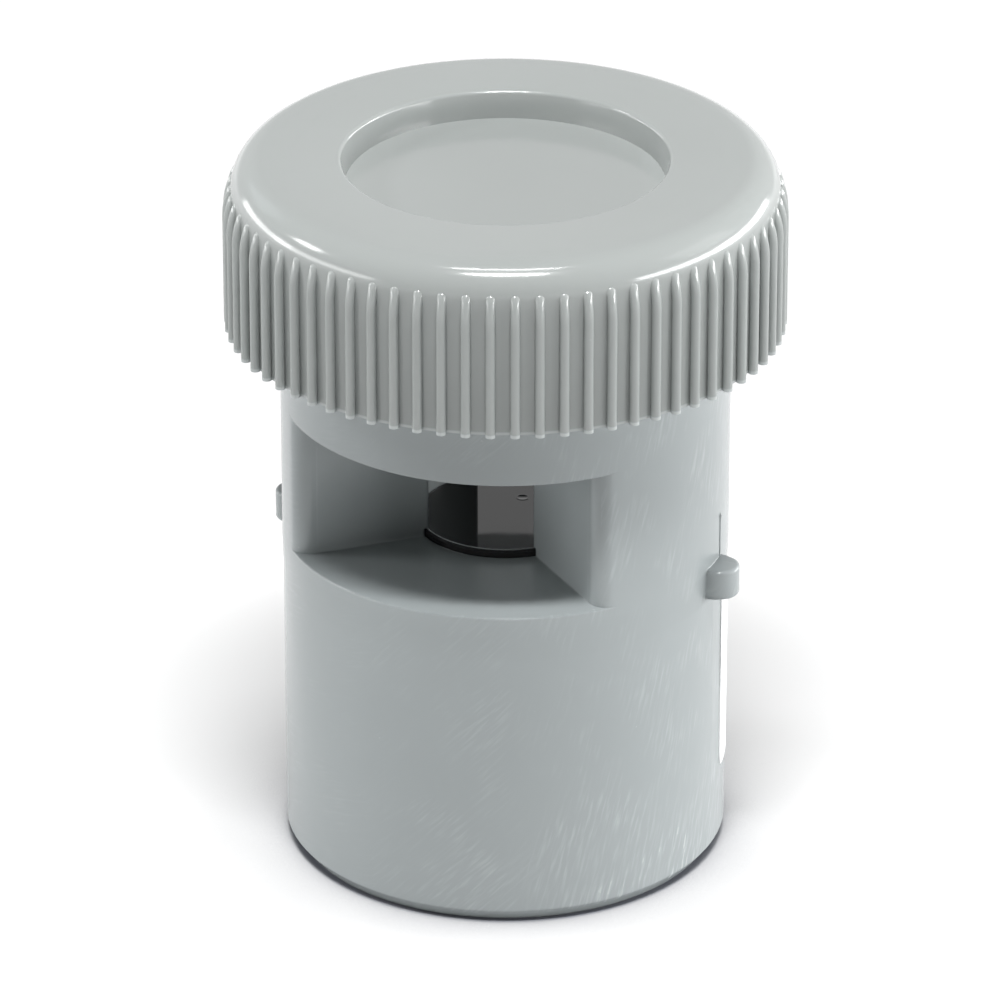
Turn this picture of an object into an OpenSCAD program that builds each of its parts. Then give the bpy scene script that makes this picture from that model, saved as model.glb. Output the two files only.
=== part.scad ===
// Small air admittance valve for a waste pipe: a ribbed screw cap on a windowed body.
// Air enters by the two windows, rises in the central shaft, lifts the membrane off its seat
// and goes down the two side passages into the pipe. The origin is the centre of the foot, +Z up,
// with the windows facing -Y and +Y and the stop lugs on -X and +X.

/* [Spigot and socket] */
// Outside diameter of the body above the stop lugs
body_d = 40.2; // [39.6:0.1:48]
// Outside diameter of the spigot below the stop lugs
spigot_d = 40; // [37:0.1:40]
// Bore diameter of the pipe socket
socket_d = 32.2; // [28:0.1:34]
// Depth of the pipe socket
socket_depth = 24; // [16:0.5:26]
// Width of the ledge that stops the pipe
pipe_stop_w = 1.6; // [0.8:0.1:2.5]
// Lead-in chamfer at the socket's mouth
socket_lead = 0.8; // [0.3:0.1:1.5]
// Height of the chamfer round the foot
foot_chamfer_h = 1.2; // [0.5:0.1:2]
// Width of the chamfer round the foot
foot_chamfer_w = 0.9; // [0.4:0.1:1.5]

/* [Stop lugs] */
// Height of the lugs' underside above the foot
lug_z = 27; // [18:0.1:27.5]
// Height of a lug
lug_h = 2.8; // [1:0.1:3]
// Radius of the half-round lug, which is how far it stands out
lug_r = 1.8; // [1:0.1:2.5]
// Distance from the end of the plain spigot up to the lugs
lug_gap = 0.5; // [0.3:0.1:1]
// Height over which the spigot widens to the body
spigot_blend_h = 3; // [2:0.1:4]

/* [Air windows] */
// Height of the windows' floor above the foot
window_z = 30.6; // [30:0.1:36]
// Height of the windows
window_h = 13; // [8:0.1:15]
// Angle between the side walls of a window
window_angle = 97; // [75:1:105]
// Distance from the axis to the line where the side walls of a window would meet
window_apex = 1.4; // [0:0.1:2.5]
// Rounding of the windows' outer upright edges
jamb_round = 1.8; // [0.5:0.1:2.5]
// Thickness of the walls beside the windows
window_wall = 1.8; // [1.2:0.1:2.5]
// Thickness of the floor under the windows
floor_t = 2; // [1.2:0.1:3]
// Thickness of the deck over the windows
deck_t = 2; // [1.2:0.1:3]

/* [Shaft and seat] */
// Bore diameter of the central air shaft
shaft_d = 15.5; // [11:0.1:16]
// Wall of the shaft
shaft_wall = 1.8; // [1.4:0.1:2.5]
// Wall of the shaft's upper end, which carries the seat
seat_wall = 1.6; // [1.4:0.1:2.3]
// Width of the flat lip that the membrane seats on
seat_lip_w = 1; // [0.6:0.1:1.6]
// Height of the bevelled part of the seat
seat_lip_h = 1.6; // [0.8:0.1:2.5]
// Number of fins that guide the membrane
fin_count = 4; // [4:4:8]
// Thickness of a guide fin
fin_t = 1.4; // [1:0.1:2]
// Depth of a guide fin outside the membrane's edge
fin_depth = 1.5; // [1:0.1:2.5]

/* [Shaft plug] */
// Width of the step that the plug stops against
plug_step = 0.4; // [0.3:0.05:0.8]
// How far the plug's top stands above the windows' floor
plug_rise = 0.7; // [0.3:0.1:1.5]
// Height of the plug
plug_h = 4.4; // [3:0.1:7]
// Wall of the hollow plug
plug_wall = 1.3; // [0.8:0.1:2]

/* [Membrane] */
// Thickness of the membrane's rim
membrane_t = 1.6; // [1:0.1:3]
// How far the membrane overlaps the shaft's bore
membrane_overlap = 2.5; // [2:0.1:4]
// Height of the membrane's thicker middle above its rim
membrane_pad_h = 0.5; // [0.2:0.1:1]
// Lift of the membrane from its seat to its stop
membrane_lift = 3.5; // [2:0.1:5]

/* [Neck and cap] */
// Height of the whole valve
total_h = 66.1; // [62:0.1:80]
// Height of the cap
cap_h = 15.6; // [12:0.1:18]
// Wall of the neck
neck_wall = 2.3; // [1.5:0.1:3]
// Radial room for the thread between the neck and the cap's skirt
thread_room = 1.9; // [1.4:0.1:3]
// Wall of the cap's skirt, without its ribs
skirt_wall = 2.45; // [1.8:0.05:3.5]
// Thickness of the cap's top
cap_top_t = 2.2; // [1.6:0.1:3]
// Rounding of the cap's shoulder
shoulder_round = 2.9; // [1.5:0.1:4]
// Width of the cap's top from the skirt's outside to the recess
recess_land = 9.9; // [9.5:0.05:16]
// Depth of the recess in the cap's top
recess_depth = 2.5; // [1:0.1:4]
// How much narrower the recess is at its floor, on radius
recess_taper = 0.4; // [0.1:0.05:0.6]
// Rounding of the recess's rim
recess_round = 0.2; // [0.1:0.05:0.6]
// Depth of the ribs under the cap that stop the membrane
stop_rib_h = 0.8; // [0.4:0.1:1.5]
// Thickness of the ribs under the cap
stop_rib_t = 1.2; // [0.8:0.1:2]

/* [Grip ribs] */
// Number of grip ribs round the cap
rib_count = 72; // [48:4:90]
// Width of a grip rib
rib_w = 0.8; // [0.6:0.05:1.2]
// How far a grip rib stands out from the skirt
rib_proud = 0.6; // [0.3:0.05:0.8]
// Distance of the ribs' tops below the top of the cap
rib_top_drop = 2.4; // [1.2:0.1:5]
// Rounding of the ribs' tops
rib_top_round = 0.8; // [0.4:0.1:1.5]
// Turn of the first rib from +X
rib_phase = 2.3; // [0:0.1:5]

/* [Gasket] */
// Thickness of the gasket under the cap
gasket_t = 1.6; // [1:0.1:2.5]
// How far the gasket reaches inside the neck's rim
gasket_inner_lap = 0.6; // [0:0.1:1]

/* [Clearances] */
// Gap between the membrane's edge and its guide fins
guide_gap = 0.35; // [0.2:0.05:0.8]
// Gap left over the membrane at the top of its lift
lift_gap = 0.15; // [0.1:0.05:0.4]
// Gap round the plug in its hole
plug_gap = 0.04; // [0.02:0.01:0.1]
// Gap between the gasket's edge and the cap's skirt
gasket_gap = 0.3; // [0.1:0.05:0.6]

/* [Hidden] */
$fn = 96;
small_fn = 24;
// Overlap of a cut past the face that it opens
cut = 1;
// How far a piece that stands on a wall reaches into it
wall_bite = 1;

body_r = body_d / 2;
spigot_r = spigot_d / 2;
spigot_top_z = lug_z - lug_gap;
socket_r = socket_d / 2;
throat_r = socket_r - pipe_stop_w;
chamber_r = body_r - neck_wall;
shaft_r = shaft_d / 2;
shaft_out_r = shaft_r + shaft_wall;
plug_r = shaft_r + plug_step;

floor_under_z = window_z - floor_t;
window_top_z = window_z + window_h;
deck_top_z = window_top_z + deck_t;
plug_top_z = window_z + plug_rise;

cap_bottom_z = total_h - cap_h;
ceiling_z = total_h - cap_top_t;
rim_z = ceiling_z - gasket_t;
recess_under_z = ceiling_z - recess_depth;
stop_z = recess_under_z - stop_rib_h;
seat_z = stop_z - lift_gap - membrane_lift - membrane_pad_h - membrane_t;

membrane_r = shaft_r + membrane_overlap;
fin_inner_r = membrane_r + guide_gap;
fin_outer_r = fin_inner_r + fin_depth;
fin_top_z = seat_z + membrane_t + membrane_lift;

skirt_inner_r = body_r + thread_room;
skirt_r = skirt_inner_r + skirt_wall;
recess_r = skirt_r - recess_land;
rib_r = rib_w / 2;
rib_axis_r = skirt_r + rib_proud - rib_r;

// Wedge with its point on the axis, centred on -Y, reaching past the radius r
module wedge(angle, r) {
    half = angle / 2;
    side = r * tan(half);
    polygon([[0, 0], [-side, -r], [side, -r]]);
}

// Sliver that rounds the outer upright edge of a window, on the side of +X
module jamb_rounding() {
    half = window_angle / 2;
    along = [sin(half), -cos(half)];
    into_wall = [cos(half), sin(half)];
    apex = [0, -window_apex];
    centre_r = body_r - jamb_round;
    offset_in = jamb_round + window_apex * sin(half);
    run = sqrt(centre_r * centre_r - offset_in * offset_in) - window_apex * cos(half);
    touch = apex + along * run;
    centre = touch + into_wall * jamb_round;
    difference() {
        polygon([touch, touch + along * (jamb_round + cut), centre * ((body_r + cut) / centre_r), centre]);
        translate(centre) circle(r = jamb_round);
    }
}

// Plan of the window that faces -Y
module window_plan() {
    intersection() {
        translate([0, -window_apex]) wedge(window_angle, body_r + cut);
        circle(r = body_r + cut);
    }
    jamb_rounding();
    mirror([1, 0]) jamb_rounding();
}

// Plan of the side passage towards +X, out to the radius r
module passage_plan(r) {
    half = window_angle / 2;
    apex = window_wall / cos(half) - window_apex * tan(half);
    intersection() {
        difference() {
            circle(r = r);
            circle(r = shaft_out_r);
        }
        rotate(90) translate([0, -apex]) wedge(180 - window_angle, body_r);
    }
}

// Turned shell of the body: spigot, socket, throat, neck and seat round a solid middle
module body_shell() {
    seat_out_r = shaft_r + seat_wall;
    rotate_extrude() polygon([
        [socket_r + socket_lead, 0],
        [spigot_r - foot_chamfer_w, 0],
        [spigot_r, foot_chamfer_h],
        [spigot_r, spigot_top_z],
        [body_r, spigot_top_z + spigot_blend_h],
        [body_r, rim_z],
        [chamber_r, rim_z],
        [chamber_r, deck_top_z],
        [seat_out_r, deck_top_z],
        [seat_out_r, seat_z - seat_lip_h],
        [shaft_r + seat_lip_w, seat_z],
        [0, seat_z],
        [0, floor_under_z],
        [throat_r, floor_under_z],
        [throat_r, socket_depth],
        [socket_r, socket_depth],
        [socket_r, socket_lead]]);
}

// One guide fin, standing on the deck against the shaft's upper end
module guide_fin() {
    root_r = shaft_r + seat_wall / 2;
    translate([root_r, -fin_t / 2, deck_top_z - deck_t / 2])
        cube([fin_outer_r - root_r, fin_t, seat_z - seat_lip_h - deck_top_z + deck_t / 2]);
    translate([fin_inner_r, -fin_t / 2, deck_top_z - deck_t / 2])
        cube([fin_depth, fin_t, fin_top_z - deck_top_z + deck_t / 2]);
}

// Half-round stop lug on the side of +X
module stop_lug() {
    translate([body_r, 0, lug_z]) cylinder(r = lug_r, h = lug_h);
}

module body() color([0.66, 0.69, 0.69]) {
    difference() {
        body_shell();
        for (turn = [0, 180]) rotate(turn) {
            translate([0, 0, window_z]) linear_extrude(window_h) window_plan();
            translate([0, 0, window_z]) linear_extrude(deck_top_z - window_z + cut) passage_plan(chamber_r);
            translate([0, 0, floor_under_z - cut]) linear_extrude(floor_t + 2 * cut) passage_plan(throat_r);
        }
        translate([0, 0, floor_under_z - cut]) cylinder(r = shaft_r, h = seat_z - floor_under_z + 2 * cut);
        translate([0, 0, floor_under_z - cut]) cylinder(r = plug_r, h = plug_top_z - floor_under_z + cut);
    }
    for (i = [0 : fin_count - 1]) rotate((i + 0.5) * 360 / fin_count) guide_fin();
    for (turn = [0, 180]) rotate(turn) stop_lug();
}

// Hollow plug, pressed up from below until it meets the step at the foot of the shaft
module shaft_plug() color([0.05, 0.05, 0.055]) {
    r = plug_r - plug_gap;
    edge = plug_rise / 3;
    rotate_extrude() polygon([
        [0, plug_top_z],
        [r - edge, plug_top_z],
        [r, plug_top_z - edge],
        [r, plug_top_z - plug_h],
        [r - plug_wall, plug_top_z - plug_h],
        [r - plug_wall, plug_top_z - plug_wall],
        [0, plug_top_z - plug_wall]]);
}

// Rubber disc with a thicker middle, resting on the seat
module valve_membrane() color([0.08, 0.08, 0.085]) {
    pad_r = shaft_r - seat_lip_w;
    edge = membrane_t / 5;
    translate([0, 0, seat_z]) rotate_extrude() polygon([
        [0, 0],
        [membrane_r - edge, 0],
        [membrane_r, edge],
        [membrane_r, membrane_t - edge],
        [membrane_r - edge, membrane_t],
        [pad_r + membrane_pad_h, membrane_t],
        [pad_r, membrane_t + membrane_pad_h],
        [0, membrane_t + membrane_pad_h]]);
}

// Flat rubber washer between the neck's rim and the cap
module cap_gasket() color([0.12, 0.12, 0.125]) {
    translate([0, 0, rim_z]) difference() {
        cylinder(r = skirt_inner_r - gasket_gap, h = gasket_t);
        translate([0, 0, -cut]) cylinder(r = chamber_r - gasket_inner_lap, h = gasket_t + 2 * cut);
    }
}

// Turned section of the cap without its ribs, a half outline with rounded edges
module cap_section() {
    boss_r = recess_r - recess_taper + cap_top_t;
    difference() {
        union() {
            translate([0, cap_bottom_z]) square([skirt_r, cap_h - shoulder_round]);
            translate([0, total_h - shoulder_round]) square([skirt_r - shoulder_round, shoulder_round]);
            translate([skirt_r - shoulder_round, total_h - shoulder_round]) circle(r = shoulder_round);
        }
        translate([-cut, cap_bottom_z - cut])
            square([skirt_inner_r + cut, recess_under_z - cap_bottom_z + cut]);
        translate([boss_r, recess_under_z - cut]) square([skirt_inner_r - boss_r, recess_depth + cut]);
        recess_section();
        translate([-body_d, cap_bottom_z - cut]) square([body_d, cap_h + 2 * cut]);
    }
}

// Section of the recess, tapered and opened out at its rim by a quarter round
module recess_section() {
    floor_z = total_h - recess_depth;
    rim_centre = recess_r + recess_round;
    polygon([
        [0, floor_z],
        [recess_r - recess_taper, floor_z],
        [recess_r, total_h - recess_round],
        [recess_r, total_h + cut],
        [0, total_h + cut]]);
    difference() {
        translate([recess_r - recess_round, total_h - recess_round])
            square([2 * recess_round, recess_round + cut]);
        translate([rim_centre, total_h - recess_round]) circle(r = recess_round, $fn = small_fn);
    }
}

// One half-round grip rib
module grip_rib() {
    translate([rib_axis_r, 0, cap_bottom_z]) cylinder(r = rib_r, h = cap_h, $fn = small_fn);
}

// Turned form that rounds off the tops of the ribs
module rib_bound() {
    root_r = skirt_r - wall_bite;
    width = wall_bite + rib_proud + rib_top_round / 5;
    height = cap_h - rib_top_drop;
    translate([0, 0, cap_bottom_z]) rotate_extrude() translate([root_r, 0]) {
        square([width, height - rib_top_round]);
        square([width - rib_top_round, height]);
        translate([width - rib_top_round, height - rib_top_round]) circle(r = rib_top_round);
    }
}

// One rib under the cap, which stops the membrane and keeps it from sticking
module stop_rib() {
    translate([shaft_r / 3, -stop_rib_t / 2, stop_z])
        cube([membrane_r - shaft_r / 3, stop_rib_t, stop_rib_h + cap_top_t / 2]);
}

module cap() color([0.70, 0.72, 0.71]) {
    rotate_extrude() cap_section();
    intersection() {
        for (i = [0 : rib_count - 1]) rotate(rib_phase + i * 360 / rib_count) grip_rib();
        rib_bound();
    }
    for (turn = [0 : 90 : 270]) rotate(turn) stop_rib();
}

body();
shaft_plug();
valve_membrane();
cap_gasket();
cap();
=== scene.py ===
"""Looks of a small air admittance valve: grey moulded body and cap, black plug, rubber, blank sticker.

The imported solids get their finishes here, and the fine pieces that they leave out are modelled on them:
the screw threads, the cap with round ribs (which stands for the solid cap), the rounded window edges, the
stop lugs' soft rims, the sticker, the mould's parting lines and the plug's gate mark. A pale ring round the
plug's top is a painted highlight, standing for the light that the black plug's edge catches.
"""
import math

import bpy
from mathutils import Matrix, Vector


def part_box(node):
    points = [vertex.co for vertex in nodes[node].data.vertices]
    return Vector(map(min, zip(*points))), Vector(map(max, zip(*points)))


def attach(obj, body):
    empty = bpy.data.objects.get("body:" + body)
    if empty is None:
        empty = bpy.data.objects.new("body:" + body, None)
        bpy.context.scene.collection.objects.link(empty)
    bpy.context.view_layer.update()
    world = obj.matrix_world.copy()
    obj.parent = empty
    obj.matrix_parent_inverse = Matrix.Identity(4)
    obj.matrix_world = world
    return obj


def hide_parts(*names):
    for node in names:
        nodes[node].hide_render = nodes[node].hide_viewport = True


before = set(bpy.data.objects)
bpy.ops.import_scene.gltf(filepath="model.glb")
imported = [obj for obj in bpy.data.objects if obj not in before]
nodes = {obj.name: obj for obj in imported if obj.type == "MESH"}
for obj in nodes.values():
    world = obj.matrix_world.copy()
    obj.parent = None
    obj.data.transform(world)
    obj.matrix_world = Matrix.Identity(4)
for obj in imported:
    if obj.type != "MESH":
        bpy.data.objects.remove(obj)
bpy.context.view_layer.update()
MM = 0.001
NEAR = 1e-6  # points closer than this, in metres, count as being in the same place
TINY = 1e-7  # the same, for points that an operator puts there exactly

# Sizes shared with the solids, in metres
SPIGOT_R = 20.0 * MM
BODY_R = 20.1 * MM
SKIRT_INNER_R = 22.0 * MM
SKIRT_R = 24.3 * MM
CREST_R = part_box("cap")[1].x
CAP_LOW, CAP_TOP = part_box("cap")[0].z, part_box("cap")[1].z
PLUG_R, PLUG_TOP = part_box("shaft_plug")[1].x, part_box("shaft_plug")[1].z
WINDOW_LOW, WINDOW_HIGH = 30.6 * MM, 43.6 * MM
LUG_LOW, LUG_HIGH, LUG_R = 27.0 * MM, 29.8 * MM, 1.8 * MM
THREAD_PITCH = 3.0 * MM


# Modelling helpers

def edit_mode():
    bpy.ops.object.mode_set(mode="EDIT")


def object_mode():
    bpy.ops.object.mode_set(mode="OBJECT")


def deselect_all():
    if bpy.context.object and bpy.context.object.mode != "OBJECT":
        object_mode()
    bpy.ops.object.select_all(action="DESELECT")


def pick_alone(piece):
    """Selects the piece alone and makes it the active one."""
    deselect_all()
    piece.select_set(True)
    bpy.context.view_layer.objects.active = piece


def select_mesh(kind=None):
    """In edit mode, selects the whole mesh, as vertices, edges or faces where a kind is given."""
    if kind:
        bpy.ops.mesh.select_mode(type=kind)
    bpy.ops.mesh.select_all(action="SELECT")


def select_parts(piece, part, test):
    """In edit mode, selects the vertices, edges or faces whose middle passes the test."""
    bpy.ops.mesh.select_mode(type={"vertices": "VERT", "edges": "EDGE", "polygons": "FACE"}[part])
    bpy.ops.mesh.select_all(action="DESELECT")
    object_mode()
    mesh = piece.data
    for item in getattr(mesh, part):
        if part == "vertices":
            middle = item.co
        elif part == "edges":
            middle = (mesh.vertices[item.vertices[0]].co + mesh.vertices[item.vertices[1]].co) / 2
        else:
            middle = item.center
        item.select = bool(test(middle))
    edit_mode()


def extrude(move):
    """In edit mode, extrudes what is selected and moves the new end."""
    bpy.ops.mesh.extrude_region_move(TRANSFORM_OT_translate={"value": move})


def keep_outline():
    """In edit mode, deletes the faces and keeps their edges."""
    select_mesh("FACE")
    bpy.ops.mesh.delete(type="ONLY_FACE")


def face_outwards():
    """In edit mode, turns all faces outwards."""
    select_mesh()
    bpy.ops.mesh.normals_make_consistent(inside=False)


def apply_place(piece):
    """Puts the piece's place, turn and size into its mesh."""
    pick_alone(piece)
    bpy.ops.object.transform_apply(location=True, rotation=True, scale=True)


def turn_piece(piece, degrees):
    """Turns the piece about the valve's axis."""
    piece.rotation_euler = (0, 0, math.radians(degrees))
    apply_place(piece)


def wind(piece, turns, steps, rise=0.0, merge=False):
    """Winds the piece's outline round the valve's axis, with a rise for a thread."""
    winding = piece.modifiers.new("winding", "SCREW")
    winding.axis = "Z"
    winding.angle = 2 * math.pi * turns
    winding.screw_offset = rise
    winding.steps = steps
    winding.render_steps = steps
    winding.use_merge_vertices = merge
    winding.merge_threshold = TINY
    bpy.ops.object.modifier_apply(modifier="winding")


def trace(name, points):
    """Flat face through the points, drawn by extruding one corner from each point to the next."""
    deselect_all()
    bpy.ops.mesh.primitive_plane_add(size=MM)
    piece = bpy.context.object
    piece.name = name
    edit_mode()
    select_mesh("VERT")
    bpy.ops.mesh.merge(type="CENTER")
    bpy.ops.transform.translate(value=points[0])
    for near, far in zip(points, points[1:]):
        extrude(Vector(far) - Vector(near))
    select_mesh()
    bpy.ops.mesh.edge_face_add()
    object_mode()
    return piece


def round_corner(piece, x, z, radius, segments):
    """Rounds the corner at x and z of a face in the XZ plane."""
    edit_mode()
    select_parts(piece, "vertices", lambda co: math.hypot(co.x - x, co.z - z) < NEAR)
    bpy.ops.mesh.bevel(offset=radius, segments=segments, affect="VERTICES")
    object_mode()


def join(pieces):
    """Makes one object of the pieces, without fusing their meshes."""
    deselect_all()
    for piece in pieces:
        piece.select_set(True)
    bpy.context.view_layer.objects.active = pieces[0]
    bpy.ops.object.join()
    return pieces[0]


def unite(piece, other):
    """Fuses another piece into this one."""
    pick_alone(piece)
    fusing = piece.modifiers.new("fusing", "BOOLEAN")
    fusing.operation = "UNION"
    fusing.solver = "EXACT"
    fusing.object = other
    bpy.ops.object.modifier_apply(modifier="fusing")
    bpy.data.objects.remove(other)


def close_up(piece):
    """Merges doubles, fills open ends and turns the faces outwards."""
    bpy.context.view_layer.objects.active = piece
    edit_mode()
    select_mesh()
    bpy.ops.mesh.remove_doubles(threshold=TINY)
    bpy.ops.mesh.fill_holes(sides=0)
    face_outwards()
    object_mode()


def smooth(piece, angle):
    """Shades the piece smooth, apart from edges sharper than the angle in degrees."""
    pick_alone(piece)
    bpy.ops.object.shade_smooth_by_angle(angle=math.radians(angle))


def dress(piece, name, material, body):
    """Names the piece, gives it its material and ties it to its body."""
    piece.name = name
    piece.data.name = name
    piece.data.materials.clear()
    piece.data.materials.append(material)
    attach(piece, body)


# Shader helpers and groups

def feed(tree, socket, value):
    """Links a socket to an output, or sets it to a constant."""
    if isinstance(value, bpy.types.NodeSocket):
        tree.links.new(value, socket)
    else:
        socket.default_value = value


def math_node(tree, operation, *values, clamp=False):
    node = tree.nodes.new("ShaderNodeMath")
    node.operation = operation
    node.use_clamp = clamp
    for socket, value in zip(node.inputs, values):
        feed(tree, socket, value)
    return node.outputs[0]


def object_place(tree):
    """Place on the object, in metres."""
    return tree.nodes.new("ShaderNodeTexCoord").outputs["Object"]


def noise(tree, vector, scale, detail=2.0, rough=0.5):
    node = tree.nodes.new("ShaderNodeTexNoise")
    tree.links.new(vector, node.inputs["Vector"])
    node.inputs["Detail"].default_value = detail
    node.inputs["Roughness"].default_value = rough
    feed(tree, node.inputs["Scale"], scale)
    return node.outputs["Fac"]


def step_range(tree, value, low, high):
    """0 at low and 1 at high, with a smooth step between; low may be the larger."""
    node = tree.nodes.new("ShaderNodeMapRange")
    node.interpolation_type = "SMOOTHSTEP"
    tree.links.new(value, node.inputs["Value"])
    backwards = low > high
    node.inputs["From Min"].default_value = min(low, high)
    node.inputs["From Max"].default_value = max(low, high)
    node.inputs["To Min"].default_value = 1.0 if backwards else 0.0
    node.inputs["To Max"].default_value = 0.0 if backwards else 1.0
    return node.outputs["Result"]


def between(tree, value, low, high):
    """Low where the value is 0 and high where it is 1."""
    node = tree.nodes.new("ShaderNodeMapRange")
    tree.links.new(value, node.inputs["Value"])
    node.inputs["To Min"].default_value = low
    node.inputs["To Max"].default_value = high
    return node.outputs["Result"]


def blend_colour(tree, amount, first, second):
    node = tree.nodes.new("ShaderNodeMix")
    node.data_type = "RGBA"
    sockets = [socket for socket in node.inputs if socket.enabled]
    for socket, value in zip(sockets, (amount, first, second)):
        feed(tree, socket, value)
    return [socket for socket in node.outputs if socket.enabled][0]


def shader_group(name, inputs, outputs):
    group = bpy.data.node_groups.new(name, "ShaderNodeTree")
    for label, value in inputs:
        socket = group.interface.new_socket(label, in_out="INPUT", socket_type="NodeSocketFloat")
        socket.default_value = value
    for label in outputs:
        group.interface.new_socket(label, in_out="OUTPUT", socket_type="NodeSocketFloat")
    return group, group.nodes.new("NodeGroupInput"), group.nodes.new("NodeGroupOutput")


def moulded_skin_group():
    """Cloudy tone and fine grain of a moulded or pressed surface, each from 0 to 1."""
    scales = [("Cloud Scale", 120.0), ("Grain Scale", 5000.0)]
    group, given, put = shader_group("moulded_skin", scales, ["Cloud", "Grain"])
    place = object_place(group)
    group.links.new(noise(group, place, given.outputs["Cloud Scale"], 3.0, 0.55), put.inputs["Cloud"])
    group.links.new(noise(group, place, given.outputs["Grain Scale"], 2.0, 0.6), put.inputs["Grain"])
    return group


# Rub marks, real scratches painted paler as their glint: slant from the level, first and last turn on the
# wall, all in degrees, and a shift in mm
STREAK_LAYERS = (
    (16, -170, -98, 0.0),
    (46, -116, -54, 2.3),
    (75, -72, 60, 5.1),
)
STREAK_FADE = 20  # degrees over which a layer fades in and out
STREAKS_ALONG, STREAKS_ACROSS = 320, 2900  # streaks per metre, end to end and side by side


def hairline_glints(tree, flat, slant, shift):
    """Fine streaks on the unrolled wall, at a slant in degrees from the level, from 0 to 1: scratches as
    they glint, a painted highlight.
    """
    aim = tree.nodes.new("ShaderNodeMapping")
    aim.vector_type = "TEXTURE"
    aim.inputs["Rotation"].default_value = (0, 0, math.radians(slant))
    aim.inputs["Scale"].default_value = (1 / STREAKS_ALONG, 1 / STREAKS_ACROSS, 1)
    aim.inputs["Location"].default_value = (shift * MM, shift * MM, 0)
    tree.links.new(flat, aim.inputs["Vector"])
    return step_range(tree, noise(tree, aim.outputs[0], 1.0), 0.42, 0.80)


def rub_and_glint_group():
    """Fine rub marks and specks on an upright round wall, each from 0 to 1; the marks are real scratches
    painted paler as their glint, a painted highlight.

    The marks lie nearly level on the left of the front and stand steeper towards the right, as the painted
    glints of the scratches turn round the wall, and are thickest low down on the right. There are none
    inside the wall's radius.
    """
    inputs = [("Wall Radius", 0.0197), ("Amount", 1.0)]
    group, given, put = shader_group("rub_marks_and_glints", inputs, ["Streaks", "Specks"])

    def times(first, second, clamp=False):
        return math_node(group, "MULTIPLY", first, second, clamp=clamp)

    split = group.nodes.new("ShaderNodeSeparateXYZ")
    group.links.new(object_place(group), split.inputs[0])
    across, deep, height = split.outputs["X"], split.outputs["Y"], split.outputs["Z"]
    turn = math_node(group, "ARCTAN2", deep, across)
    unrolled = group.nodes.new("ShaderNodeCombineXYZ")
    group.links.new(times(turn, SPIGOT_R), unrolled.inputs["X"])
    group.links.new(height, unrolled.inputs["Y"])
    flat = unrolled.outputs[0]

    streaks = 0.0
    for slant, start, end, shift in STREAK_LAYERS:
        begins = step_range(group, turn, math.radians(start), math.radians(start + STREAK_FADE))
        ends = step_range(group, turn, math.radians(end), math.radians(end - STREAK_FADE))
        layer = times(hairline_glints(group, flat, slant, shift), times(begins, ends))
        streaks = math_node(group, "MAXIMUM", streaks, layer)

    patch = step_range(group, noise(group, flat, 170.0), 0.42, 0.66)
    rightwards = step_range(group, turn, math.radians(-125), math.radians(-40))
    low_down = step_range(group, height, 14 * MM, 3 * MM)
    spread = times(patch, math_node(group, "MULTIPLY_ADD", rightwards, 0.6, 0.25))
    spread = math_node(group, "MULTIPLY_ADD", times(rightwards, low_down), 0.7, spread)

    radius = math_node(group, "SQRT", math_node(group, "ADD", times(across, across), times(deep, deep)))
    outside = math_node(group, "GREATER_THAN", radius, given.outputs["Wall Radius"])
    weight = times(outside, given.outputs["Amount"])
    specks = step_range(group, noise(group, flat, 1100.0, 1.0), 0.80, 0.84)
    group.links.new(times(times(streaks, spread, clamp=True), weight), put.inputs["Streaks"])
    group.links.new(times(specks, weight), put.inputs["Specks"])
    return group


MOULDED_SKIN = moulded_skin_group()
RUB_MARKS_AND_GLINTS = rub_and_glint_group()


# Materials

PVC_IOR = 1.5
GRAIN_DEPTH = 0.002 * MM


def new_material(name):
    material = bpy.data.materials.new(name)
    material.use_nodes = True
    tree = material.node_tree
    return material, tree, tree.nodes["Principled BSDF"]


def place_group(tree, group, **values):
    node = tree.nodes.new("ShaderNodeGroup")
    node.node_tree = group
    for label, value in values.items():
        node.inputs[label.replace("_", " ")].default_value = value
    return node


def add_bump(tree, shader, height, depth, edge_radius=0.0):
    """Bump of a height from 0 to 1, over edges softened by a radius."""
    bump = tree.nodes.new("ShaderNodeBump")
    bump.inputs["Strength"].default_value = 1.0
    bump.inputs["Distance"].default_value = depth
    tree.links.new(height, bump.inputs["Height"])
    if edge_radius:
        edges = tree.nodes.new("ShaderNodeBevel")
        edges.samples = 6
        edges.inputs["Radius"].default_value = edge_radius
        tree.links.new(edges.outputs["Normal"], bump.inputs["Normal"])
    tree.links.new(bump.outputs["Normal"], shader.inputs["Normal"])


def body_plastic(name, edge_radius):
    """Body's plastic with its rub marks, which are rougher and painted paler: real scratches with a painted
    highlight of their glint.
    """
    dark, light, rub_glint_colour = (0.272, 0.297, 0.301, 1), (0.292, 0.319, 0.323, 1), (0.55, 0.58, 0.59, 1)
    material, tree, shader = new_material(name)
    skin = place_group(tree, MOULDED_SKIN, Cloud_Scale=75.0, Grain_Scale=4200.0)
    rubs_and_glints = place_group(tree, RUB_MARKS_AND_GLINTS, Amount=1.0)
    tone = blend_colour(tree, skin.outputs["Cloud"], dark, light)
    # painted highlight: the glint of the rub marks is painted into the colour as a paler tone
    marks = math_node(tree, "MULTIPLY", rubs_and_glints.outputs["Streaks"], 0.24)
    marks = math_node(tree, "MAXIMUM", marks, math_node(tree, "MULTIPLY", rubs_and_glints.outputs["Specks"], 0.25))
    tree.links.new(blend_colour(tree, marks, tone, rub_glint_colour), shader.inputs["Base Color"])
    rough = between(tree, skin.outputs["Cloud"], 0.16, 0.23)
    tree.links.new(math_node(tree, "MULTIPLY_ADD", marks, 0.3, rough), shader.inputs["Roughness"])
    shader.inputs["IOR"].default_value = PVC_IOR
    add_bump(tree, shader, skin.outputs["Grain"], GRAIN_DEPTH, edge_radius)
    return material


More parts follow.
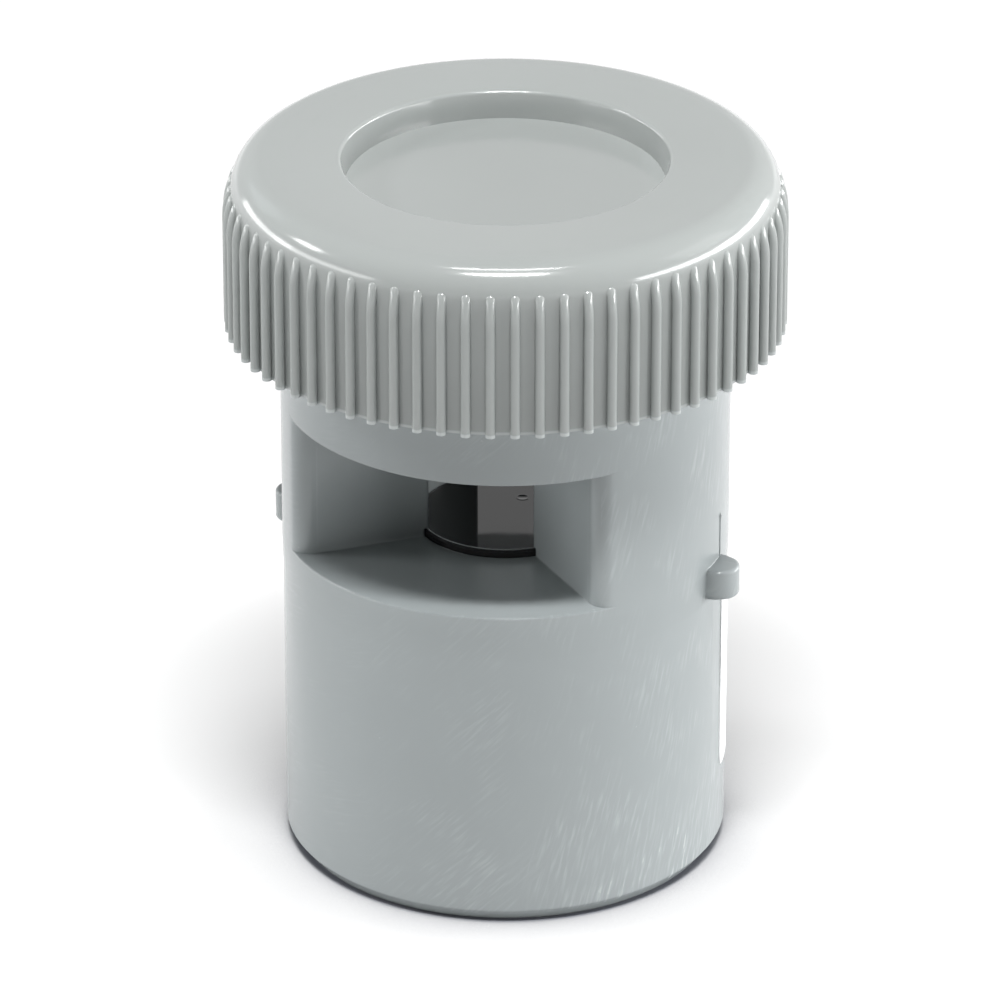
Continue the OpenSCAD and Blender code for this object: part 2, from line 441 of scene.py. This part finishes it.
def cap_plastic():
    """Cap's plastic, paler along the fine flash on its low edge."""
    dark, light, pale = (0.268, 0.285, 0.279, 1), (0.285, 0.303, 0.297, 1), (0.48, 0.51, 0.52, 1)
    material, tree, shader = new_material("cap_pvc")
    skin = place_group(tree, MOULDED_SKIN, Cloud_Scale=60.0, Grain_Scale=4600.0)
    rubs_and_glints = place_group(tree, RUB_MARKS_AND_GLINTS, Wall_Radius=24.5 * MM, Amount=0.4)
    split = tree.nodes.new("ShaderNodeSeparateXYZ")
    tree.links.new(object_place(tree), split.inputs[0])
    flash = step_range(tree, split.outputs["Z"], CAP_LOW + 0.4 * MM, CAP_LOW + 0.2 * MM)
    tone = blend_colour(tree, skin.outputs["Cloud"], dark, light)
    marks = math_node(tree, "MAXIMUM", math_node(tree, "MULTIPLY", flash, 0.5),
                      math_node(tree, "MULTIPLY", rubs_and_glints.outputs["Specks"], 0.4))
    tree.links.new(blend_colour(tree, marks, tone, pale), shader.inputs["Base Color"])
    tree.links.new(between(tree, skin.outputs["Cloud"], 0.12, 0.16), shader.inputs["Roughness"])
    shader.inputs["IOR"].default_value = PVC_IOR
    add_bump(tree, shader, skin.outputs["Grain"], GRAIN_DEPTH)
    return material


def black_rubber(name, dark, light, rough):
    spread = 0.08
    material, tree, shader = new_material(name)
    skin = place_group(tree, MOULDED_SKIN, Cloud_Scale=160.0, Grain_Scale=3000.0)
    tree.links.new(blend_colour(tree, skin.outputs["Cloud"], dark, light), shader.inputs["Base Color"])
    roughness = between(tree, skin.outputs["Grain"], rough - spread, rough + spread)
    tree.links.new(roughness, shader.inputs["Roughness"])
    add_bump(tree, shader, skin.outputs["Grain"], 0.01 * MM, 0.15 * MM)
    return material


def glossy_black():
    dark, light = (0.0035, 0.0035, 0.004, 1), (0.0065, 0.0065, 0.007, 1)
    material, tree, shader = new_material("black_plug")
    skin = place_group(tree, MOULDED_SKIN, Cloud_Scale=220.0, Grain_Scale=2500.0)
    tree.links.new(blend_colour(tree, skin.outputs["Cloud"], dark, light), shader.inputs["Base Color"])
    tree.links.new(between(tree, skin.outputs["Cloud"], 0.03, 0.07), shader.inputs["Roughness"])
    add_bump(tree, shader, skin.outputs["Cloud"], GRAIN_DEPTH)
    return material


def label_paper():
    dark, light = (0.80, 0.81, 0.82, 1), (0.86, 0.86, 0.86, 1)
    material, tree, shader = new_material("paper_label")
    skin = place_group(tree, MOULDED_SKIN, Cloud_Scale=200.0, Grain_Scale=9000.0)
    tree.links.new(blend_colour(tree, skin.outputs["Cloud"], dark, light), shader.inputs["Base Color"])
    tree.links.new(between(tree, skin.outputs["Grain"], 0.42, 0.6), shader.inputs["Roughness"])
    add_bump(tree, shader, skin.outputs["Grain"], 0.003 * MM)
    return material


BODY_PVC = body_plastic("body_pvc", 0.3 * MM)
# jamb_pvc also colours the pale ring on the plug, which is a painted highlight
JAMB_PVC = body_plastic("jamb_pvc", 0.0)  # softened edges would darken the strip along a hidden edge
CAP_PVC = cap_plastic()
PLUG_BLACK = glossy_black()
MEMBRANE = black_rubber("membrane_rubber", (0.014, 0.014, 0.015, 1), (0.026, 0.026, 0.027, 1), 0.45)
GASKET = black_rubber("gasket_rubber", (0.022, 0.022, 0.023, 1), (0.036, 0.036, 0.037, 1), 0.6)
LABEL_PAPER = label_paper()

for node_name, material in (("body", BODY_PVC), ("cap", CAP_PVC), ("shaft_plug", PLUG_BLACK),
                            ("valve_membrane", MEMBRANE), ("cap_gasket", GASKET)):
    slots = nodes[node_name].material_slots
    if len(slots) == 0:
        nodes[node_name].data.materials.append(material)
    for material_slot in slots:
        material_slot.material = material


# Fine pieces on the solids

def upright_frame(name, inner_r, outer_r, low_z, high_z, tip_drop=0.0):
    """Outline of a section in the XZ plane, a rectangle or one that narrows towards outer_r."""
    deselect_all()
    bpy.ops.mesh.primitive_plane_add(size=1, location=((inner_r + outer_r) / 2, 0, (low_z + high_z) / 2),
                                     rotation=(math.pi / 2, 0, 0))
    piece = bpy.context.object
    piece.name = name
    piece.scale = (abs(outer_r - inner_r), high_z - low_z, 1)
    apply_place(piece)
    edit_mode()
    if tip_drop:
        select_parts(piece, "vertices", lambda co: abs(co.x - outer_r) < NEAR)
        bpy.ops.transform.resize(value=(1, 1, 1 - 2 * tip_drop / (high_z - low_z)))
    keep_outline()
    object_mode()
    return piece


def screw_thread(name, wall_r, outwards, start_z, start_turn, material, body):
    """Right-handed thread of trapezium section on a wall: outwards is 1, or -1 for an inner thread."""
    turns, steps_per_turn = 2.25, 96
    half_height, tip_drop = 0.65 * MM, 0.33 * MM
    root_r, tip_r = wall_r - outwards * 0.2 * MM, wall_r + outwards * 1.15 * MM
    piece = upright_frame(name, root_r, tip_r, start_z - half_height, start_z + half_height, tip_drop)
    turn_piece(piece, start_turn)
    wind(piece, turns, int(steps_per_turn * turns), THREAD_PITCH * turns)
    close_up(piece)
    smooth(piece, 30)
    dress(piece, name, material, body)


def turned_cap():
    """Cap's top and skirt, turned from a section with a rounded shoulder and a tapered recess."""
    recess_r, recess_floor_r, recess_floor_z = 14.55 * MM, 14.15 * MM, CAP_TOP - 2.5 * MM
    ceiling_z, boss_r, boss_z = CAP_TOP - 2.2 * MM, 16.35 * MM, CAP_TOP - 4.7 * MM
    section = [(0, recess_floor_z), (recess_floor_r, recess_floor_z), (recess_r, CAP_TOP),
               (SKIRT_R, CAP_TOP), (SKIRT_R, CAP_LOW), (SKIRT_INNER_R, CAP_LOW), (SKIRT_INNER_R, ceiling_z),
               (boss_r, ceiling_z), (boss_r, boss_z), (0, boss_z)]
    piece = trace("turned_cap", [(x, 0, z) for x, z in section])
    round_corner(piece, recess_r, CAP_TOP, 0.3 * MM, 5)
    round_corner(piece, SKIRT_R, CAP_TOP, 2.9 * MM, 16)
    round_corner(piece, SKIRT_R, CAP_LOW, 0.12 * MM, 2)
    edit_mode()
    keep_outline()
    select_parts(piece, "edges", lambda co: co.x < NEAR)
    bpy.ops.mesh.delete(type="EDGE")
    object_mode()
    wind(piece, 1, 288, merge=True)
    close_up(piece)
    return piece


def grip_ribs():
    """Ring of upright round ribs, whose tops lean inwards and die into the cap's shoulder."""
    count, radius, first_turn = 72, 0.44 * MM, 3.7
    lean_start, lean_r = CAP_LOW + 10.3 * MM, 7.0 * MM
    lean_rises = (0.6 * MM, 1.2 * MM, 1.8 * MM, 2.3 * MM, 2.7 * MM)
    tip_steps = ((0.2 * MM, 0.86), (0.14 * MM, 0.7), (0.06 * MM, 0.4))  # rise and shrink
    tip_lean = 0.7  # inwards for each rise
    deselect_all()
    bpy.ops.mesh.primitive_circle_add(vertices=20, radius=radius, fill_type="NGON",
                                      location=(CREST_R - radius, 0, CAP_LOW))
    piece = bpy.context.object
    apply_place(piece)
    edit_mode()
    select_mesh()
    extrude((0, 0, lean_start - CAP_LOW))
    done, inwards = 0.0, 0.0
    for rise in lean_rises:
        lean = lean_r - math.sqrt(lean_r * lean_r - rise * rise)
        extrude((inwards - lean, 0, rise - done))
        done, inwards = rise, lean
    for rise, shrink in tip_steps:
        extrude((-tip_lean * rise, 0, rise))
        bpy.ops.transform.resize(value=(shrink, shrink, 1))
    face_outwards()
    bpy.ops.mesh.spin(dupli=True, steps=count - 1, angle=2 * math.pi * (count - 1) / count,
                      center=(0, 0, 0), axis=(0, 0, 1))
    object_mode()
    turn_piece(piece, first_turn)
    return piece


def stop_ribs():
    """Four short ribs under the cap, which stop the membrane."""
    inner, outer, thick = 2.58 * MM, 10.25 * MM, 1.2 * MM
    low_z, high_z = CAP_TOP - 5.5 * MM, CAP_TOP - 3.6 * MM
    bars = []
    for turn in (0, 90, 180, 270):
        deselect_all()
        bpy.ops.mesh.primitive_cube_add(size=1, location=((inner + outer) / 2, 0, (low_z + high_z) / 2))
        bar = bpy.context.object
        bar.scale = (outer - inner, thick, high_z - low_z)
        apply_place(bar)
        turn_piece(bar, turn)
        bars.append(bar)
    return join(bars)


def ribbed_cap():
    """Cap with its grip ribs, which stands for the solid cap."""
    piece = turned_cap()
    unite(piece, grip_ribs())
    unite(piece, stop_ribs())
    smooth(piece, 33)
    dress(piece, "ribbed_cap", CAP_PVC, "cap")
    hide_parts("cap")


def jamb_edge(side, facing):
    """Rounded outer edge of one upright side of a window: side is 1 or -1 along X, facing along Y.

    Its section starts on the window's side, goes round to the outer wall, runs on over that for a few
    degrees and comes back inside the solid.
    """
    half, apex, radius = math.radians(48.5), 1.4 * MM, 1.5 * MM  # the window's half angle and its apex
    bite, lead, skin, proud, over = 0.8 * MM, 0.56 * MM, 0.02 * MM, 0.003 * MM, 0.05 * MM
    arc_steps = 14
    along = Vector((math.sin(half), -math.cos(half)))
    into_wall = Vector((math.cos(half), math.sin(half)))
    centre_r, aside = BODY_R - radius, radius - apex * math.sin(half)
    run = math.sqrt(centre_r ** 2 - aside ** 2) - apex * math.cos(half)
    touch = Vector((0, -apex)) + along * run
    centre = touch + into_wall * radius
    first, last = math.atan2(-into_wall.y, -into_wall.x), math.atan2(centre.y, centre.x)
    start = touch - along * lead + into_wall * skin
    outline = [start]
    for step in range(arc_steps + 1):
        turn = first + (last - first) * step / arc_steps
        outline.append(centre + Vector((math.cos(turn), math.sin(turn))) * radius)
    for past in (0.6, 1.2, 1.8, 2.4):
        turn = last + math.radians(past)
        outline.append(Vector((math.cos(turn), math.sin(turn))) * (BODY_R + proud))
    outline.append(outline[-1] * (1 - bite / BODY_R))
    outline.append(start + into_wall * bite)
    piece = trace("jamb_edge", [(side * p.x, -facing * p.y, WINDOW_LOW - over) for p in outline])
    edit_mode()
    select_mesh()
    extrude((0, 0, WINDOW_HIGH - WINDOW_LOW + 2 * over))
    face_outwards()
    object_mode()
    return piece


def window_jambs():
    piece = join([jamb_edge(side, facing) for side in (1, -1) for facing in (-1, 1)])
    smooth(piece, 20)
    dress(piece, "window_jambs", JAMB_PVC, "body")


def stop_lug(name, turn):
    """Round-ended lug with soft rims, over the solid one."""
    skin, reach, rim, root = 0.02 * MM, 0.45 * MM, 0.3 * MM, 0.9 * MM
    low_z, high_z = LUG_LOW - skin, LUG_HIGH + skin
    deselect_all()
    bpy.ops.mesh.primitive_cylinder_add(vertices=64, radius=LUG_R + skin, depth=high_z - low_z,
                                        location=(BODY_R + reach, 0, (low_z + high_z) / 2))
    piece = bpy.context.object
    apply_place(piece)
    edit_mode()
    select_parts(piece, "vertices", lambda co: co.x < BODY_R + reach - NEAR)
    bpy.ops.transform.translate(value=(-root, 0, 0))
    select_parts(piece, "edges", lambda co: min(abs(co.z - low_z), abs(co.z - high_z)) < TINY)
    bpy.ops.mesh.bevel(offset=rim, segments=5, affect="EDGES")
    object_mode()
    turn_piece(piece, turn)
    smooth(piece, 40)
    dress(piece, name, BODY_PVC, "body")


def blank_sticker():
    """Paper sticker with rounded corners, bent round the spigot's side."""
    start, sweep = 7, 86  # degrees
    low_z, high_z, corner_r = 8.0 * MM, 26.3 * MM, 1.7 * MM
    inner_r, outer_r = SPIGOT_R - 0.01 * MM, SPIGOT_R + 0.09 * MM
    piece = upright_frame("blank_sticker", inner_r, outer_r, low_z, high_z)
    turn_piece(piece, start)
    edit_mode()
    select_mesh("EDGE")
    bpy.ops.mesh.spin(steps=64, angle=-math.radians(sweep), center=(0, 0, 0), axis=(0, 0, 1))
    object_mode()
    close_up(piece)
    end_turns = (math.radians(start), math.radians(start) + math.radians(sweep))
    ends = [Vector((math.cos(turn), math.sin(turn))) for turn in end_turns]

    def corner(co):
        """Whether an edge through the paper's thickness lies at one of its four corners."""
        level = Vector((co.x, co.y))
        at_end = min((level.normalized() - end).length for end in ends) < 1e-3
        through = abs(level.length - (inner_r + outer_r) / 2) < 0.02 * MM
        return at_end and through and min(abs(co.z - low_z), abs(co.z - high_z)) < NEAR

    edit_mode()
    select_parts(piece, "edges", corner)
    bpy.ops.mesh.bevel(offset=corner_r, segments=6, affect="EDGES", clamp_overlap=False)
    object_mode()
    smooth(piece, 30)
    dress(piece, "blank_sticker", LABEL_PAPER, "body")


def parting_line(name, turn):
    """Fine upright ridge that the mould's joint leaves on the body over a lug, ending in a small pip."""
    low_z, high_z = 29.7 * MM, 33.6 * MM
    thick, wide, edge_r = 0.14 * MM, 0.2 * MM, 0.06 * MM
    pip_reach, pip_rise, pip_top = 0.05 * MM, 0.2 * MM, 0.25 * MM
    middle = (low_z + high_z) / 2
    deselect_all()
    bpy.ops.mesh.primitive_cube_add(size=1, location=(BODY_R, 0, middle))
    piece = bpy.context.object
    piece.scale = (thick, wide, high_z - low_z)
    apply_place(piece)
    edit_mode()
    select_parts(piece, "edges", lambda co: co.x > BODY_R and abs(co.z - middle) < 10 * NEAR)
    bpy.ops.mesh.bevel(offset=edge_r, segments=3, affect="EDGES")
    select_parts(piece, "polygons", lambda co: abs(co.z - high_z) < NEAR)
    extrude((pip_reach, 0, pip_rise))
    bpy.ops.transform.resize(value=(1.5, 1.6, 1))
    extrude((-pip_reach, 0, pip_top))
    bpy.ops.transform.resize(value=(0.5, 0.5, 1))
    object_mode()
    turn_piece(piece, turn)
    smooth(piece, 40)
    dress(piece, name, BODY_PVC, "body")


def gate_mark():
    """Small round witness of the moulding gate on the plug's top."""
    x, y, radius, height = 0.45 * MM, 3.05 * MM, 0.59 * MM, 0.06 * MM
    rim, slope, dip, edge_r = 0.1 * MM, 0.05 * MM, 0.025 * MM, 0.012 * MM
    top = PLUG_TOP + height / 2
    deselect_all()
    bpy.ops.mesh.primitive_cylinder_add(vertices=40, radius=radius, depth=height, location=(x, y, PLUG_TOP))
    piece = bpy.context.object
    apply_place(piece)
    edit_mode()
    select_parts(piece, "polygons", lambda co: abs(co.z - top) < TINY)
    bpy.ops.mesh.inset(thickness=rim, depth=0)
    bpy.ops.mesh.inset(thickness=slope, depth=-dip)
    select_parts(piece, "edges", lambda co: abs(co.z - top) < TINY)
    bpy.ops.mesh.bevel(offset=edge_r, segments=2, affect="EDGES")
    object_mode()
    smooth(piece, 40)
    dress(piece, "plug_gate_mark", PLUG_BLACK, "body")


def painted_plug_highlight():
    """Painted highlight: a fine pale grey ring round the plug's top, at the inner edge of its chamfer,
    stands for the light that the black plug's edge catches.
    """
    wire, chamfer, sunk = 0.05 * MM, 0.23 * MM, 0.01 * MM
    deselect_all()
    bpy.ops.mesh.primitive_torus_add(major_segments=128, minor_segments=10, major_radius=PLUG_R - chamfer,
                                     minor_radius=wire, location=(0, 0, PLUG_TOP - sunk))
    piece = bpy.context.object
    apply_place(piece)
    smooth(piece, 60)
    # the body's grey plastic makes the ring show as a pale painted highlight on the black plug
    dress(piece, "painted_plug_highlight", JAMB_PVC, "body")


screw_thread("neck_thread", BODY_R, 1, 54.0 * MM, 20, BODY_PVC, "body")
screw_thread("cap_thread", SKIRT_INNER_R, -1, 53.0 * MM, 80, CAP_PVC, "cap")
ribbed_cap()
window_jambs()
stop_lug("stop_lug_right", 0)
stop_lug("stop_lug_left", 180)
blank_sticker()
parting_line("parting_line_right", 4)
parting_line("parting_line_left", 184)
gate_mark()
painted_plug_highlight()


# Floor, light and camera

CAMERA_TURN, CAMERA_RISE = 21.8, 26.25  # degrees
CAMERA_DISTANCE, CAMERA_LENS = 719.4 * MM, 288  # the lens for a sensor of 36 mm
AIM_HEIGHT, AIM_LEFT = 32.4 * MM, 0.49 * MM
LAMP_AIM = Vector((0, 0, 0.035))
WHITE, BLUISH = (1, 1, 1), (0.85, 0.95, 1.0)

# Azimuth from the camera's own and elevation in degrees; distance, width and height in metres; watts
LAMPS = (
    ("tube_behind", 0, 88, 0.9, 0.36, 0.06, 1.8, WHITE),
    ("tube_in_front", 0, 69, 0.9, 0.30, 0.05, 10.0, WHITE),
    ("box_left", -95, 30, 1.0, 0.22, 0.14, 1.9, WHITE),
    ("box_right", 95, 30, 1.0, 0.5, 0.4, 0.8, WHITE),
    ("back_left", -139, 29, 1.0, 0.35, 0.3, 0.2, BLUISH),
    ("low_left", -80, 5.5, 1.0, 1.0, 0.18, 3.6, WHITE),
    ("low_right", 80, 5.5, 1.0, 1.0, 0.18, 9.0, WHITE),
    ("side_left", -115, 5.5, 1.0, 0.7, 0.18, 2.6, WHITE),
    ("side_right", 115, 5.5, 1.0, 0.7, 0.18, 5.6, WHITE),
)


def seen_rays(tree):
    """1 for rays that show the surroundings: from the camera, in gloss and through glass."""
    path = tree.nodes.new("ShaderNodeLightPath")
    seen = math_node(tree, "MAXIMUM", path.outputs["Is Camera Ray"], path.outputs["Is Glossy Ray"])
    return math_node(tree, "MAXIMUM", seen, path.outputs["Is Transmission Ray"])


def white_floor():
    """Pale matt floor that shows white, with a soft bluish shade close round the foot.

    Rays that show it get a glow as well, stronger where the lamps no longer reach the floor.
    """
    bounce, shade, pale = (0.56, 0.56, 0.56, 1), (0.17, 0.175, 0.20, 1), (0.49, 0.49, 0.49, 1)
    shade_reach, shade_power, shade_depth = 18 * MM, 3.0, 4.6
    near_glow, far_glow_added = 0.32, 0.66
    glow_start, glow_full = 0.12, 0.55  # metres from the part
    deselect_all()
    bpy.ops.mesh.primitive_plane_add(size=8, location=(0, 0, 0))
    floor = bpy.context.object
    floor.name = "floor"
    material = bpy.data.materials.new("white_floor")
    material.use_nodes = True
    tree = material.node_tree
    tree.nodes.clear()
    nearness = tree.nodes.new("ShaderNodeAmbientOcclusion")
    nearness.samples = 8
    nearness.inputs["Distance"].default_value = shade_reach
    hidden = math_node(tree, "SUBTRACT", 1.0, nearness.outputs["AO"])
    shaded = math_node(tree, "POWER", hidden, shade_power)
    clear = math_node(tree, "MULTIPLY_ADD", shaded, -shade_depth, 1.0, clamp=True)
    lit = tree.nodes.new("ShaderNodeBsdfDiffuse")
    lit.inputs["Color"].default_value = bounce
    shown = tree.nodes.new("ShaderNodeBsdfDiffuse")
    tree.links.new(blend_colour(tree, clear, shade, pale), shown.inputs["Color"])
    distance = tree.nodes.new("ShaderNodeVectorMath")
    distance.operation = "LENGTH"
    tree.links.new(object_place(tree), distance.inputs[0])
    unlit = step_range(tree, distance.outputs["Value"], glow_start, glow_full)
    strength = math_node(tree, "MULTIPLY_ADD", unlit, far_glow_added, near_glow)
    glow = tree.nodes.new("ShaderNodeEmission")
    tree.links.new(math_node(tree, "MULTIPLY", clear, strength), glow.inputs["Strength"])
    glowing = tree.nodes.new("ShaderNodeAddShader")
    tree.links.new(shown.outputs[0], glowing.inputs[0])
    tree.links.new(glow.outputs[0], glowing.inputs[1])
    pick = tree.nodes.new("ShaderNodeMixShader")
    tree.links.new(seen_rays(tree), pick.inputs[0])
    tree.links.new(lit.outputs[0], pick.inputs[1])
    tree.links.new(glowing.outputs[0], pick.inputs[2])
    out = tree.nodes.new("ShaderNodeOutputMaterial")
    tree.links.new(pick.outputs[0], out.inputs["Surface"])
    floor.data.materials.append(material)


def white_room():
    """Pale surroundings that show in the picture and in gloss, and give no light of their own."""
    world = bpy.data.worlds.new("white_room")
    bpy.context.scene.world = world
    world.use_nodes = True
    tree = world.node_tree
    tree.nodes.clear()
    pale = tree.nodes.new("ShaderNodeBackground")
    pale.inputs["Color"].default_value = (0.8, 0.8, 0.8, 1)
    tree.links.new(seen_rays(tree), pale.inputs["Strength"])
    out = tree.nodes.new("ShaderNodeOutputWorld")
    tree.links.new(pale.outputs[0], out.inputs["Surface"])


def direction(azimuth, elevation):
    turn, rise = math.radians(azimuth), math.radians(elevation)
    return Vector((math.sin(turn) * math.cos(rise), -math.cos(turn) * math.cos(rise), math.sin(rise)))


def soft_lamp(name, azimuth, elevation, distance, width, height, power, colour):
    """Area lamp that faces the object, at an azimuth from the camera's own and an elevation."""
    lamp = bpy.data.lights.new(name, "AREA")
    lamp.shape = "RECTANGLE"
    lamp.size, lamp.size_y = width, height
    lamp.energy = power
    lamp.color = colour
    holder = bpy.data.objects.new(name, lamp)
    bpy.context.scene.collection.objects.link(holder)
    away = direction(CAMERA_TURN + azimuth, elevation)
    holder.location = LAMP_AIM + away * distance
    holder.rotation_mode = "QUATERNION"
    holder.rotation_quaternion = away.to_track_quat("Z", "Y")


def photo_camera():
    """Camera fitted to the round edges in the photo."""
    back = direction(CAMERA_TURN, CAMERA_RISE)
    turn = math.radians(CAMERA_TURN)
    right = Vector((math.cos(turn), math.sin(turn), 0))
    camera = bpy.data.cameras.new("camera")
    camera.sensor_width = 36
    camera.lens = CAMERA_LENS
    camera.clip_start, camera.clip_end = 0.05, 20
    holder = bpy.data.objects.new("camera", camera)
    bpy.context.scene.collection.objects.link(holder)
    holder.location = Vector((0, 0, AIM_HEIGHT)) - right * AIM_LEFT + back * CAMERA_DISTANCE
    holder.rotation_mode = "QUATERNION"
    holder.rotation_quaternion = back.to_track_quat("Z", "Y")
    bpy.context.scene.camera = holder


white_floor()
white_room()
for lamp_values in LAMPS:
    soft_lamp(*lamp_values)
photo_camera()
bpy.context.scene.view_settings.view_transform = "Standard"
